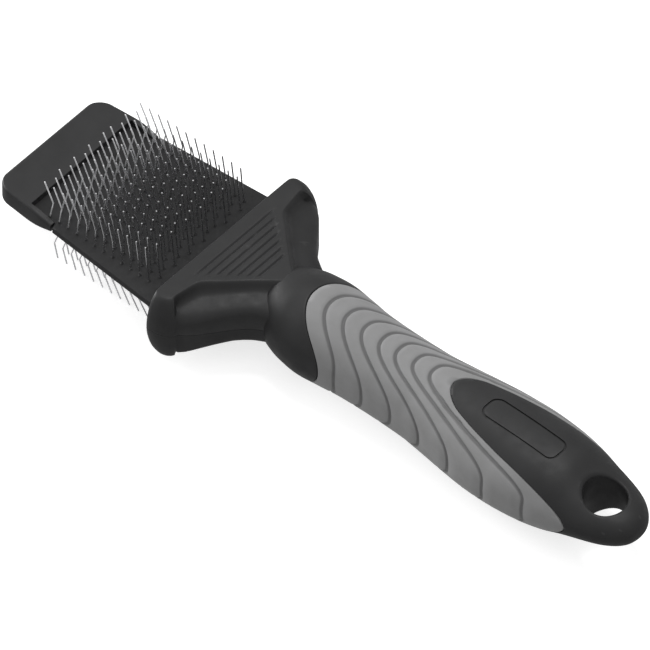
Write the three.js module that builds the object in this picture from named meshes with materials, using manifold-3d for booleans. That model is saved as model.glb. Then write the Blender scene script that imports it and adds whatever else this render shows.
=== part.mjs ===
// Double-sided flexible slicker brush for long coats, in millimetres, +Z up.
// A thin blade made of two pin sheets, back to back, carries bent wire pins on both faces. An end cap
// holds the sheets' front ends, a T-shaped yoke clamps their rear ends, and the yoke sits on a handle
// with a hard core, a soft grip sleeve and a hang hole.
// Every piece is drawn with X measured from the front edge of the end cap, Y across and Z = 0 on the
// blade's middle plane. The last lines move the whole brush to its own frame: X and Y centred on the
// brush and Z = 0 under its lowest point.
import * as THREE from "three";
import { mergeVertices } from "three/addons/utils/BufferGeometryUtils.js";
import Module from "manifold-3d";

const wasm = await Module();
wasm.setup();

// Whole brush
const LENGTH = 217.2; // front edge of the cap to the end of the handle
const GAP = 0.3; // clearance between two pieces that touch
const FAR = 60; // half size of a block that cuts a whole piece

// Blade: two sheets, each with slots for its pin rows
const BLADE_HALF_THICKNESS = 1.1;
const BLADE_FRONT = 7.8;
const BLADE_HALF_WIDTH_FRONT = 20.65; // between the cheeks of the cap
const BEND_LINE = 62; // the blade flexes about this line, at the mouth of the yoke
const BLADE_REAR = 77;
const BLADE_EDGE_AT_TIP = 20.5; // half width of the blade's edges, carried forward to X = 0
const BLADE_TAPER = 0.083; // growth of the half width for each millimetre of X

// End cap
const CAP_LENGTH = 12.9;
const CAP_HALF_THICKNESS = 2.6;
const CAP_CORNER_RADIUS = 6;
const CAP_EDGE_RADIUS = 0.7;
const CHEEK_INSIDE = BLADE_HALF_WIDTH_FRONT + GAP;
const CHEEK_END = 20.8;
const CHEEK_END_HALF_THICKNESS = 1.5;

// Pins: each row is a line of bent wires along X
const ROWS = 14;
const ROW_PITCH = 3.04;
const PINS_IN_ROW = 12;
const PIN_RADIUS = 0.23;
const PIN_SIDES = 3;
const PIN_TIP_Z = 13.9;
const ROW_STAGGER = 1.4;
const STAGGERED = [0, 1, 0, 1, 0, 1, 0, 1, 0, 0, 1, 0, 1, 0]; // 1 for a row set back by the stagger
const CARRIER_WIDTH = 0.5;
const CARRIER_THICKNESS = 0.35;
const CARRIER_OVERHANG = 0.7; // carrier beyond its first and last pin
// Each face's wires, given for the first and the last pin of a row: where the wire leaves the sheet,
// how high its knee is, and how far the knee and the tip lean along X from the point before.
const UPPER_PINS = {
  side: 1,
  base: [18.9, 55.5],
  kneeZ: 7.5,
  kneeLean: [1.36, -0.79],
  tipLean: [-3.12, -0.5],
};
const LOWER_PINS = {
  side: -1,
  base: [23.2, 57.3],
  kneeZ: 8.7,
  kneeLean: [-2.7, -2.7],
  tipLean: [1.2, 3.5],
};

// Yoke: two shells that meet on the middle plane
const YOKE_FRONT = 64.9;
const YOKE_REAR = 87.5;
const YOKE_HALF_HEIGHT = 11;
const YOKE_WALL_HALF_HEIGHT = 5; // the upright part of the side walls
const YOKE_EDGE_INSET = 3.5; // how far the rounded edges come in at the top
const YOKE_FRONT_HALF_WIDTH = 31.2;
const YOKE_HALF_WIDTH = 32.4;
const YOKE_WING_REAR = 75.5;
const YOKE_CORNER_X = 3; // how far the front corners are rounded back
const YOKE_SIDE_END = 5; // the straight side ends this far ahead of the wing's rear
const YOKE_SWEEP_LEAD = 2; // the middle of the concave sweep, ahead of halfway
const YOKE_SWEEP_TURN = 3; // from there to the corner point of its second half
const YOKE_NECK_HALF_WIDTH = 14.4;

// Handle: cross sections as X, half width, half height and height of the centre
const HANDLE_FRONT = YOKE_REAR + GAP;
const HANDLE_SECTIONS = [
  [HANDLE_FRONT, 12.2, 11.6, -0.2],
  [94, 13.1, 12.5, -0.5],
  [102.5, 14.3, 13.6, -0.8],
  [110, 13.5, 13.4, -0.9],
  [118, 12.3, 12.9, -1],
  [128, 12, 12.8, -1],
  [138, 12.2, 12.8, -1],
  [147, 13.2, 13, -1],
  [156, 14.6, 13.2, -1],
  [165, 15.7, 13.2, -1],
  [174, 16.1, 12.9, -0.8],
  [183, 15.7, 12.2, -0.5],
  [191.5, 14.6, 10.6, -0.2],
  [198, 13.2, 7.6, 0],
  [205.5, 11.5, 5.1, 0],
  [210, 9.9, 4.8, 0],
  [213.8, 7.2, 4.4, 0],
  [216.3, 4, 3.2, 0],
  [LENGTH, 1.5, 1.8, 0],
];
const TANG_SECTIONS = HANDLE_SECTIONS.slice(0, -5); // the part of the handle that has a core under it
const HANDLE_ROUNDNESS = 2.2; // exponent of the section's oval
const HANDLE_SIDES = 20;
const TENON = { front: 79, halfWidth: 8, halfHeight: 5 };
const HANG_HOLE = { x: 204.3, radius: 6.2, sides: 32 };
const TAIL_LAND_Z = 4.3; // flat land behind the hang hole, on both faces

// Grip sleeve: the soft layer over the handle's middle
const GRIP_THICKNESS = 2.5;
const GRIP_EDGE_MARGIN = 4; // the front edge's curve runs this far past the sides
const GRIP_EDGE_STEP = 2.5;
const GRIP_FRONT_ON_TOP = 99.2;
const GRIP_FRONT_SWEEP = 12.3; // how much further back the front edge is at the sides
const GRIP_SIDE = 13.5;
const GRIP_SWEEP_POWER = 2.6;
const TONGUE_TIP = 149.5;
const TONGUE_SHOULDER = 170;
const TONGUE_HALF_WIDTH = 9.9;
const TONGUE_END = 199.5;
const TONGUE_END_HALF_WIDTH = 12.7;

const BLACK_PLASTIC = { color: 0x1c1c1d, roughness: 0.5, metalness: 0 };
const BLADE_PLASTIC = { color: 0x202021, roughness: 0.6, metalness: 0 };
const GREY_RUBBER = { color: 0x8a8a8a, roughness: 0.75, metalness: 0 };
const STEEL = { color: 0xc8c9cb, roughness: 0.25, metalness: 1 };

// ---- Solids ----

// A closed geometry as a solid that can be cut and joined.
function solid(geometry) {
  const bare = geometry.clone();
  bare.deleteAttribute("normal");
  bare.deleteAttribute("uv");
  const merged = mergeVertices(bare, 1e-4);
  const mesh = new wasm.Mesh({
    numProp: 3,
    vertProperties: merged.attributes.position.array,
    triVerts: new Uint32Array(merged.index.array),
  });
  return new wasm.Manifold(mesh);
}

function named(name, body, finish) {
  const { vertProperties, triVerts } = body.getMesh();
  const geometry = new THREE.BufferGeometry();
  geometry.setAttribute("position", new THREE.BufferAttribute(vertProperties, 3));
  geometry.setIndex(new THREE.BufferAttribute(triVerts, 1));
  geometry.computeVertexNormals();
  const mesh = new THREE.Mesh(geometry, new THREE.MeshStandardMaterial(finish));
  mesh.name = name;
  return mesh;
}

// A block between two corners.
function block(low, high) {
  const size = high.map((value, axis) => value - low[axis]);
  const centre = high.map((value, axis) => (value + low[axis]) / 2);
  return solid(new THREE.BoxGeometry(...size).translate(...centre));
}

// A flat outline, given as points, as a plate between two heights.
function plate(points, bottom, top) {
  const shape = new THREE.Shape(points.map(([x, y]) => new THREE.Vector2(x, y)));
  const settings = { depth: top - bottom, bevelEnabled: false };
  return solid(new THREE.ExtrudeGeometry(shape, settings).translate(0, 0, bottom));
}

// The points of one side of an outline, followed by their mirror images in reverse order.
function bothSides(points) {
  const mirrored = points.map(([x, y]) => [x, -y]).reverse();
  return [...points, ...mirrored];
}

function mix(pair, share) {
  return pair[0] + (pair[1] - pair[0]) * share;
}

function bladeHalfWidth(x) {
  return BLADE_EDGE_AT_TIP + BLADE_TAPER * x;
}

// ---- Pin rows ----

function rowY(row) {
  return (row - (ROWS - 1) / 2) * ROW_PITCH;
}

// Where the wires of a row leave the sheet.
function pinBases(face, row) {
  const shift = STAGGERED[row] * ROW_STAGGER;
  return Array.from({ length: PINS_IN_ROW }, (_, pin) => {
    return mix(face.base, pin / (PINS_IN_ROW - 1)) + shift;
  });
}

// One bent wire: an upright prism whose rings are moved along X to the knee and the tip.
function bentWire(face, pin, baseX, y) {
  const share = pin / (PINS_IN_ROW - 1);
  const rootZ = BLADE_HALF_THICKNESS - CARRIER_THICKNESS / 2;
  const kneeX = baseX + mix(face.kneeLean, share);
  const rings = [
    [kneeX + mix(face.tipLean, share), PIN_TIP_Z],
    [kneeX, face.kneeZ],
    [baseX, rootZ],
  ];
  const wire = new THREE.CylinderGeometry(PIN_RADIUS, PIN_RADIUS, 2, PIN_SIDES, 2);
  wire.rotateX(Math.PI / 2);
  const corners = wire.attributes.position;
  for (let i = 0; i < corners.count; i += 1) {
    const [x, z] = rings[1 - Math.round(corners.getZ(i))];
    corners.setXYZ(i, corners.getX(i) + x, corners.getY(i) + y, z);
  }
  return solid(wire);
}

function carrierEnds(face, row) {
  const bases = pinBases(face, row);
  return [bases[0] - CARRIER_OVERHANG, bases[PINS_IN_ROW - 1] + CARRIER_OVERHANG];
}

function pinRow(face, row) {
  const y = rowY(row);
  const [front, rear] = carrierEnds(face, row);
  const half = CARRIER_WIDTH / 2;
  const underside = BLADE_HALF_THICKNESS - CARRIER_THICKNESS;
  let body = block([front, y - half, underside], [rear, y + half, BLADE_HALF_THICKNESS]);
  pinBases(face, row).forEach((baseX, pin) => {
    body = body.add(bentWire(face, pin, baseX, y));
  });
  return facing(body, face.side);
}

// A body drawn for the upper face, mirrored below the middle plane for the lower one.
function facing(body, side) {
  return side > 0 ? body : body.mirror([0, 0, 1]);
}

// ---- Blade ----

function sheet(face) {
  const outline = bothSides([
    [BLADE_FRONT, BLADE_HALF_WIDTH_FRONT],
    [CHEEK_END + GAP, BLADE_HALF_WIDTH_FRONT],
    [CHEEK_END + GAP, bladeHalfWidth(CHEEK_END + GAP)],
    [BEND_LINE - GAP, bladeHalfWidth(BEND_LINE - GAP)],
  ]);
  let body = plate(outline, GAP / 2, BLADE_HALF_THICKNESS);
  const halfSlot = CARRIER_WIDTH / 2 + GAP;
  for (let row = 0; row < ROWS; row += 1) {
    const y = rowY(row);
    const [front, rear] = carrierEnds(face, row);
    const slot = block([front - GAP, y - halfSlot, -1], [rear + GAP, y + halfSlot, 2]);
    body = body.subtract(slot);
  }
  return facing(body, face.side);
}

// The rear end of the blade, which the yoke clamps.
function bladeRoot(clearance) {
  const outline = bothSides([
    [BEND_LINE + GAP, bladeHalfWidth(BEND_LINE) + clearance],
    [BLADE_REAR + clearance, bladeHalfWidth(BEND_LINE) - 2 + clearance],
  ]);
  const half = BLADE_HALF_THICKNESS + clearance;
  return plate(outline, -half, half);
}

function endCap() {
  const inset = CAP_EDGE_RADIUS;
  const halfWidth = bladeHalfWidth(CAP_LENGTH);
  const outline = new THREE.Shape();
  outline.moveTo(CHEEK_END, -bladeHalfWidth(CHEEK_END));
  outline.lineTo(CHEEK_END, bladeHalfWidth(CHEEK_END));
  outline.lineTo(CAP_CORNER_RADIUS, halfWidth - 0.5);
  outline.quadraticCurveTo(0, halfWidth - 1, 0, halfWidth - 1 - CAP_CORNER_RADIUS);
  outline.lineTo(0, CAP_CORNER_RADIUS + 1 - halfWidth);
  outline.quadraticCurveTo(0, 1 - halfWidth, CAP_CORNER_RADIUS, 0.5 - halfWidth);
  const bevelled = new THREE.ExtrudeGeometry(outline, {
    depth: 2 * (CAP_HALF_THICKNESS - inset),
    bevelThickness: inset,
    bevelSize: inset,
    bevelOffset: -inset,
    bevelSegments: 2,
    curveSegments: 6,
  });
  const body = solid(bevelled.translate(0, 0, inset - CAP_HALF_THICKNESS));
  const halfSlot = BLADE_HALF_THICKNESS + GAP;
  const pocket = block([BLADE_FRONT - GAP, -CHEEK_INSIDE, -halfSlot], [FAR, CHEEK_INSIDE, halfSlot]);
  const betweenCheeks = block([CAP_LENGTH, -CHEEK_INSIDE, -FAR], [FAR, CHEEK_INSIDE, FAR]);
  return body.subtract(pocket).subtract(betweenCheeks).subtract(cheekSlope(1)).subtract(cheekSlope(-1));
}

// What is cut off above or below the cheeks, so that they thin out toward their ends.
function cheekSlope(side) {
  const front = CAP_LENGTH + 1;
  const rear = CHEEK_END + 1;
  const wedge = new THREE.Shape([
    new THREE.Vector2(front, side * CAP_HALF_THICKNESS),
    new THREE.Vector2(rear, side * CHEEK_END_HALF_THICKNESS),
    new THREE.Vector2(rear, side * 2 * CAP_HALF_THICKNESS),
    new THREE.Vector2(front, side * 2 * CAP_HALF_THICKNESS),
  ]);
  const prism = new THREE.ExtrudeGeometry(wedge, { depth: 2 * FAR, bevelEnabled: false });
  return solid(prism.rotateX(Math.PI / 2).translate(0, FAR, 0));
}

// ---- Yoke ----

// The outline in plan. It reaches past the front and rear faces, which are cut flat afterwards.
function yokeOutline() {
  const ahead = YOKE_FRONT - YOKE_HALF_HEIGHT;
  const behind = YOKE_REAR + YOKE_HALF_HEIGHT;
  const side = YOKE_HALF_WIDTH;
  const neck = YOKE_NECK_HALF_WIDTH;
  const halfway = (YOKE_WING_REAR + YOKE_REAR) / 2 - YOKE_SWEEP_LEAD;
  const outline = new THREE.Shape();
  outline.moveTo(ahead, -YOKE_FRONT_HALF_WIDTH);
  outline.lineTo(YOKE_FRONT, -YOKE_FRONT_HALF_WIDTH);
  outline.quadraticCurveTo(YOKE_FRONT + YOKE_CORNER_X, -side, YOKE_WING_REAR - YOKE_SIDE_END, -side);
  outline.quadraticCurveTo(YOKE_WING_REAR + 1, -side, halfway, -(side + neck) / 2);
  outline.quadraticCurveTo(halfway + YOKE_SWEEP_TURN, -neck, YOKE_REAR, -neck);
  outline.lineTo(behind, -neck);
  outline.lineTo(behind, neck);
  outline.lineTo(YOKE_REAR, neck);
  outline.quadraticCurveTo(halfway + YOKE_SWEEP_TURN, neck, halfway, (side + neck) / 2);
  outline.quadraticCurveTo(YOKE_WING_REAR + 1, side, YOKE_WING_REAR - YOKE_SIDE_END, side);
  outline.quadraticCurveTo(YOKE_FRONT + YOKE_CORNER_X, side, YOKE_FRONT, YOKE_FRONT_HALF_WIDTH);
  outline.lineTo(ahead, YOKE_FRONT_HALF_WIDTH);
  return outline;
}

// The yoke as one block, with its pockets for the blade and for the handle's tenon.
function yoke() {
  const rounding = YOKE_HALF_HEIGHT - YOKE_WALL_HALF_HEIGHT;
  const bevelled = new THREE.ExtrudeGeometry(yokeOutline(), {
    depth: 2 * YOKE_WALL_HALF_HEIGHT,
    bevelThickness: rounding,
    bevelSize: YOKE_EDGE_INSET,
    bevelOffset: -YOKE_EDGE_INSET,
    bevelSegments: 3,
    curveSegments: 5,
  });
  const body = solid(bevelled.translate(0, 0, -YOKE_WALL_HALF_HEIGHT));
  return body
    .intersect(block([YOKE_FRONT, -FAR, -FAR], [YOKE_REAR, FAR, FAR]))
    .subtract(bladeRoot(GAP))
    .subtract(tenon(GAP));
}

function yokeShell(side) {
  const half = side > 0 ? [GAP / 2, FAR] : [-FAR, -GAP / 2];
  return yoke().intersect(block([0, -FAR, half[0]], [2 * FAR, FAR, half[1]]));
}

// ---- Handle ----

function oval(cosine) {
  return Math.sign(cosine) * Math.abs(cosine) ** (2 / HANDLE_ROUNDNESS);
}

// The handle's form through some of its sections, drawn in by an inset: a lathed drum, with one ring
// for each section, whose rings are stretched to ovals.
function handleForm(sections, inset) {
  const last = sections.length - 1;
  const profile = sections.map((_, i) => new THREE.Vector2(1, i));
  profile.unshift(new THREE.Vector2(0, 0));
  profile.push(new THREE.Vector2(0, last));
  const drum = new THREE.LatheGeometry(profile, HANDLE_SIDES);
  const corners = drum.attributes.position;
  for (let i = 0; i < corners.count; i += 1) {
    const [x, halfWidth, halfHeight, centreZ] = sections[Math.round(corners.getY(i))];
    const y = oval(corners.getZ(i)) * (halfWidth - inset);
    const z = oval(corners.getX(i)) * (halfHeight - inset) + centreZ;
    corners.setXYZ(i, x, y, z);
  }
  return solid(drum);
}

// The handle's front end that the yoke closes on.
function tenon(clearance) {
  const { front, halfWidth, halfHeight } = TENON;
  return block(
    [front - clearance, -halfWidth - clearance, -halfHeight - clearance],
    [HANDLE_FRONT + 1, halfWidth + clearance, halfHeight + clearance],
  );
}

// The grip's front edge in plan, from the near side to the far side.
function gripFrontEdge(clearance) {
  const points = [];
  const reach = GRIP_SIDE + GRIP_EDGE_MARGIN;
  for (let y = -reach; y <= reach; y += GRIP_EDGE_STEP) {
    const sweep = GRIP_FRONT_SWEEP * (Math.abs(y) / GRIP_SIDE) ** GRIP_SWEEP_POWER;
    points.push([GRIP_FRONT_ON_TOP - clearance + sweep, y]);
  }
  return points;
}

// The plan outline of the hard tongue and tail that close the grip at the rear.
function tongueOutline(clearance) {
  const length = TONGUE_SHOULDER - TONGUE_TIP - clearance;
  const width = TONGUE_HALF_WIDTH - clearance;
  const side = [];
  for (let step = 0; step < 8; step += 1) {
    const angle = (step / 8) * (Math.PI / 2);
    side.push([TONGUE_SHOULDER - length * Math.cos(angle), width * Math.sin(angle)]);
  }
  side.push([TONGUE_SHOULDER, width]);
  side.push([TONGUE_END + clearance, TONGUE_END_HALF_WIDTH - clearance]);
  side.push([TONGUE_END + 1.5 + clearance, FAR / 2]);
  side.push([LENGTH + FAR, FAR / 2]);
  const mirrored = side.slice(1).map(([x, y]) => [x, -y]).reverse();
  return [...side, ...mirrored];
}

// The upright prism, in plan, that holds everything the grip covers.
function gripZone(clearance) {
  const front = gripFrontEdge(clearance);
  const outline = [...front, [LENGTH + FAR, front.at(-1)[1]], [LENGTH + FAR, front[0][1]]];
  return plate(outline, -FAR, FAR).subtract(plate(tongueOutline(clearance), -2 * FAR, 2 * FAR));
}

function gripSleeve() {
  return handleForm(HANDLE_SECTIONS, 0)
    .intersect(gripZone(0))
    .subtract(handleForm(TANG_SECTIONS, GRIP_THICKNESS));
}

function hangHole() {
  const { x, radius, sides } = HANG_HOLE;
  const rod = new THREE.CylinderGeometry(radius, radius, 2 * FAR, sides).rotateX(Math.PI / 2);
  return solid(rod.translate(x, 0, 0));
}

function handleCore() {
  const tang = handleForm(TANG_SECTIONS, GRIP_THICKNESS + GAP);
  const shown = handleForm(HANDLE_SECTIONS, 0).subtract(gripZone(GAP));
  return shown
    .add(tang)
    .add(tenon(0))
    .subtract(hangHole())
    .subtract(block([HANG_HOLE.x, -FAR, TAIL_LAND_Z], [LENGTH + FAR, FAR, FAR]))
    .subtract(block([HANG_HOLE.x, -FAR, -FAR], [LENGTH + FAR, FAR, -TAIL_LAND_Z]));
}

// ---- Assembly ----

// The lowest point is under the handle.
const BOTTOM_Z = Math.min(...HANDLE_SECTIONS.map((section) => section[3] - section[2]));

const brush = new THREE.Group();
brush.position.set(-LENGTH / 2, 0, -BOTTOM_Z);

const blade = new THREE.Group();
blade.add(named("end_cap", endCap(), BLACK_PLASTIC));
for (const [label, face] of [["upper", UPPER_PINS], ["lower", LOWER_PINS]]) {
  blade.add(named(`${label}_pin_sheet`, sheet(face), BLADE_PLASTIC));
  for (let row = 0; row < ROWS; row += 1) {
    const number = String(row + 1).padStart(2, "0");
    blade.add(named(`${label}_pin_row_${number}`, pinRow(face, row), STEEL));
  }
}

const handle = new THREE.Group();
handle.add(named("blade_root", bladeRoot(0), BLADE_PLASTIC));
handle.add(named("yoke_upper_shell", yokeShell(1), BLACK_PLASTIC));
handle.add(named("yoke_lower_shell", yokeShell(-1), BLACK_PLASTIC));
handle.add(named("handle_core", handleCore(), BLACK_PLASTIC));
handle.add(named("grip_sleeve", gripSleeve(), GREY_RUBBER));

brush.add(blade, handle);

export default brush;
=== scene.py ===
import math

import bmesh
import bpy
import numpy as np
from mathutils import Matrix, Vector


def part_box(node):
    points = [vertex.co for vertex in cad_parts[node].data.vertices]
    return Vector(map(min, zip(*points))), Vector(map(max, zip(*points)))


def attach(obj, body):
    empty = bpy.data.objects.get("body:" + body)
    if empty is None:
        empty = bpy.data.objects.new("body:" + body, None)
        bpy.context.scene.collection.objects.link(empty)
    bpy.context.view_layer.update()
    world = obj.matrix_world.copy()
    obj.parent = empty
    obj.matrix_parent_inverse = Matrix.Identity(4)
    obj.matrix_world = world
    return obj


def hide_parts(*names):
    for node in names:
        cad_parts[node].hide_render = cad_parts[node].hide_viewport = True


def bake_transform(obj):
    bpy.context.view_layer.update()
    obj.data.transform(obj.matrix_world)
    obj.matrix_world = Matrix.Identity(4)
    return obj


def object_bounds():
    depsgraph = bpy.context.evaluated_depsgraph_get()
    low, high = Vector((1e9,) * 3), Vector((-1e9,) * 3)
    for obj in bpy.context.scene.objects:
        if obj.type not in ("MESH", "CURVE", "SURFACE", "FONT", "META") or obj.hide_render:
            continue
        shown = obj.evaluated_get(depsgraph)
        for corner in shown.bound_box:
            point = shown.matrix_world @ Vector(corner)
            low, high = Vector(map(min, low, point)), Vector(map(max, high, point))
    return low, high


# A double-sided flexible slicker brush: a thin blade with bent wire pins on both faces, an end cap,
# a T-shaped yoke of two shells, and a hard handle core with a soft grip sleeve.
# Shapes are worked out in millimetres, with X from the front edge of the end cap, Y across and Z = 0
# on the blade's middle plane, and placed in the frame by placed().
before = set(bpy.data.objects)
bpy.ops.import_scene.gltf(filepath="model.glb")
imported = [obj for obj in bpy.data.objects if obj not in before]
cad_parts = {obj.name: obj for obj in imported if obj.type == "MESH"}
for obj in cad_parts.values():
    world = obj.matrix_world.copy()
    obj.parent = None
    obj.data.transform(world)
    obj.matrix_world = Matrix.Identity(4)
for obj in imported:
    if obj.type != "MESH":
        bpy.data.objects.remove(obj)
cad_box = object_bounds()

MM = 0.001
CAP_LOW, CAP_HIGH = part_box("end_cap")
TIP_X = CAP_LOW.x
BLADE_Z = (CAP_LOW.z + CAP_HIGH.z) / 2
LENGTH = (cad_box[1][0] - cad_box[0][0]) / MM


def placed(points):
    """Points in brush millimetres as points of the frame, in metres."""
    return np.asarray(points, float) * MM + np.array([TIP_X, 0.0, BLADE_Z])


# ---- Meshes ----

def mesh_object(name, vertices, faces, material, smooth_angle=40, marks=None):
    """A closed mesh in the frame, smooth shaded apart from edges sharper than an angle.
    marks is an attribute's name and its values."""
    mesh = bpy.data.meshes.new(name)
    mesh.from_pydata([tuple(p) for p in placed(vertices)], [], faces)
    if marks:
        label, values = marks
        mesh.attributes.new(label, "FLOAT", "POINT").data.foreach_set("value", values)
    return finished(bpy_object(name, mesh), material, smooth_angle)


def bpy_object(name, mesh):
    piece = bpy.data.objects.new(name, mesh)
    bpy.context.scene.collection.objects.link(piece)
    return piece


def finished(piece, material, smooth_angle=40):
    """Outward faces, one material and smooth shading."""
    mesh = piece.data
    work = bmesh.new()
    work.from_mesh(mesh)
    bmesh.ops.remove_doubles(work, verts=work.verts, dist=1e-7)
    bmesh.ops.recalc_face_normals(work, faces=work.faces)
    work.to_mesh(mesh)
    work.free()
    mesh.materials.clear()
    mesh.materials.append(material)
    mesh.polygons.foreach_set("use_smooth", [True] * len(mesh.polygons))
    mesh.set_sharp_from_angle(angle=math.radians(smooth_angle))
    mesh.update()
    return piece


def loft(rings, ends=True):
    """Vertices and faces through rings of equal length: a tube with closed ends, or a closed ring."""
    count, around = len(rings), len(rings[0])
    vertices = [tuple(p) for ring in rings for p in ring]
    faces = []
    for i in range(count - 1 if ends else count):
        a, b = i * around, ((i + 1) % count) * around
        for j in range(around):
            k = (j + 1) % around
            faces.append((a + j, a + k, b + k, b + j))
    if ends:
        faces.append(tuple(range(around - 1, -1, -1)))
        faces.append(tuple((count - 1) * around + j for j in range(around)))
    return vertices, faces


def cut(piece, *cutters):
    """Takes cutters out of a piece, one after another, and deletes them."""
    for cutter in cutters:
        step = piece.modifiers.new("cut", "BOOLEAN")
        step.operation = "DIFFERENCE"
        step.solver = "EXACT"
        step.object = cutter
    depsgraph = bpy.context.evaluated_depsgraph_get()
    result = bpy.data.meshes.new_from_object(piece.evaluated_get(depsgraph))
    piece.modifiers.clear()
    piece.data = result
    for cutter in cutters:
        bpy.data.objects.remove(cutter)
    return piece


def mix(a, b, share):
    return a + (b - a) * share


def ease(t):
    """0 to 1 along a half cosine."""
    return (1 - np.cos(np.pi * np.clip(t, 0, 1))) / 2


# ---- Materials ----

def shader(name, base, roughness, gloss=0.5, metallic=0.0):
    """A new material, its nodes, links and main shader."""
    material = bpy.data.materials.new(name)
    material.use_nodes = True
    nodes, links = material.node_tree.nodes, material.node_tree.links
    main = nodes["Principled BSDF"]
    main.inputs["Base Color"].default_value = (*base, 1)
    main.inputs["Roughness"].default_value = roughness
    main.inputs["Metallic"].default_value = metallic
    main.inputs["Specular IOR Level"].default_value = gloss
    return material, nodes, links, main


def noise(nodes, links, scale, detail=3.0, distortion=0.0):
    """A noise pattern on the piece's own coordinates. The scale is in repeats for each metre."""
    place = nodes.new("ShaderNodeTexCoord")
    pattern = nodes.new("ShaderNodeTexNoise")
    pattern.inputs["Scale"].default_value = scale
    pattern.inputs["Detail"].default_value = detail
    pattern.inputs["Distortion"].default_value = distortion
    links.new(place.outputs["Object"], pattern.inputs["Vector"])
    return pattern.outputs["Fac"]


def ramp(nodes, links, value, stops):
    """A colour ramp through stops of (place, colour)."""
    node = nodes.new("ShaderNodeValToRGB")
    elements = node.color_ramp.elements
    for index, (place, colour) in enumerate(stops):
        element = elements[index] if index < len(elements) else elements.new(place)
        element.position = place
        element.color = (*colour, 1)
    links.new(value, node.inputs["Fac"])
    return node.outputs["Color"]


def spread(nodes, links, value, low, high):
    """A pattern's middle range mapped to values from low to high."""
    node = nodes.new("ShaderNodeMapRange")
    node.inputs["From Min"].default_value = 0.3
    node.inputs["From Max"].default_value = 0.7
    node.inputs["To Min"].default_value = low
    node.inputs["To Max"].default_value = high
    links.new(value, node.inputs["Value"])
    return node.outputs["Result"]


def grain(nodes, links, main, value, height):
    """A bump of that height in metres from a pattern."""
    bump = nodes.new("ShaderNodeBump")
    bump.inputs["Strength"].default_value = 1.0
    bump.inputs["Distance"].default_value = height
    links.new(value, bump.inputs["Height"])
    links.new(bump.outputs["Normal"], main.inputs["Normal"])


def moulded_black():
    """Satin black plastic with a fine spark-eroded grain and slightly rubbed edges."""
    material, nodes, links, main = shader("moulded_black", (0.016, 0.016, 0.0165), 0.5, 0.28)
    blotch = noise(nodes, links, 90, 4)
    tint = ramp(nodes, links, blotch, [(0.3, (0.0155, 0.0155, 0.016)), (0.7, (0.022, 0.022, 0.0225))])
    edge = nodes.new("ShaderNodeNewGeometry").outputs["Pointiness"]
    rubbed = ramp(nodes, links, edge, [(0.52, (0, 0, 0)), (0.6, (0.012, 0.012, 0.012))])
    joined = nodes.new("ShaderNodeMix")
    joined.data_type = "RGBA"
    joined.blend_type = "ADD"
    joined.inputs["Factor"].default_value = 1
    links.new(tint, joined.inputs["A"])
    links.new(rubbed, joined.inputs["B"])
    links.new(joined.outputs["Result"], main.inputs["Base Color"])
    fine = noise(nodes, links, 4500, 2)
    links.new(spread(nodes, links, noise(nodes, links, 300, 3), 0.42, 0.56), main.inputs["Roughness"])
    grain(nodes, links, main, fine, 0.00002)
    return material


def grip_grey():
    """Matt grey soft-touch rubber, a little mottled, with painted shade in the grooves, and a dusty
    skin.
    """
    material, nodes, links, main = shader("grip_grey", (0.25, 0.25, 0.25), 0.6, 0.3)
    blotch = noise(nodes, links, 140, 5, 0.4)
    tint = ramp(nodes, links, blotch, [(0.3, (0.215, 0.215, 0.215)), (0.72, (0.25, 0.25, 0.252))])
    # Painted shade: the rubber's colour drops to 0.6 of itself in the grooves, following the groove mark
    # that grip_sleeve stores.
    depth = nodes.new("ShaderNodeAttribute")
    depth.attribute_name = "in_groove"
    painted_shade = ramp(nodes, links, depth.outputs["Fac"], [(0.0, (1, 1, 1)), (0.9, (0.6, 0.6, 0.6))])
    painted_shade_mix = nodes.new("ShaderNodeMix")
    painted_shade_mix.data_type = "RGBA"
    painted_shade_mix.blend_type = "MULTIPLY"
    painted_shade_mix.inputs["Factor"].default_value = 1
    links.new(tint, painted_shade_mix.inputs["A"])
    links.new(painted_shade, painted_shade_mix.inputs["B"])
    links.new(painted_shade_mix.outputs["Result"], main.inputs["Base Color"])
    links.new(spread(nodes, links, noise(nodes, links, 500, 3), 0.55, 0.72), main.inputs["Roughness"])
    main.inputs["Sheen Weight"].default_value = 0.15
    main.inputs["Sheen Roughness"].default_value = 0.5
    grain(nodes, links, main, noise(nodes, links, 3200, 3), 0.00003)
    return material


def blade_black():
    """Dull black flexible sheet with a faint leathery grain."""
    material, nodes, links, main = shader("blade_black", (0.014, 0.014, 0.0145), 0.55, 0.25)
    blotch = noise(nodes, links, 220, 4)
    tint = ramp(nodes, links, blotch, [(0.3, (0.011, 0.011, 0.0115)), (0.7, (0.017, 0.017, 0.0175))])
    links.new(tint, main.inputs["Base Color"])
    links.new(spread(nodes, links, noise(nodes, links, 700, 2), 0.48, 0.62), main.inputs["Roughness"])
    grain(nodes, links, main, noise(nodes, links, 2400, 4, 0.6), 0.00004)
    return material


# The front rows' wires carry a painted highlight: they are whitest up to the first X, and fully metallic
# from the second.
PAINTED_HIGHLIGHT_X = (18.6, 34.6)
PAINTED_HIGHLIGHT_METALLIC = 0.45


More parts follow.
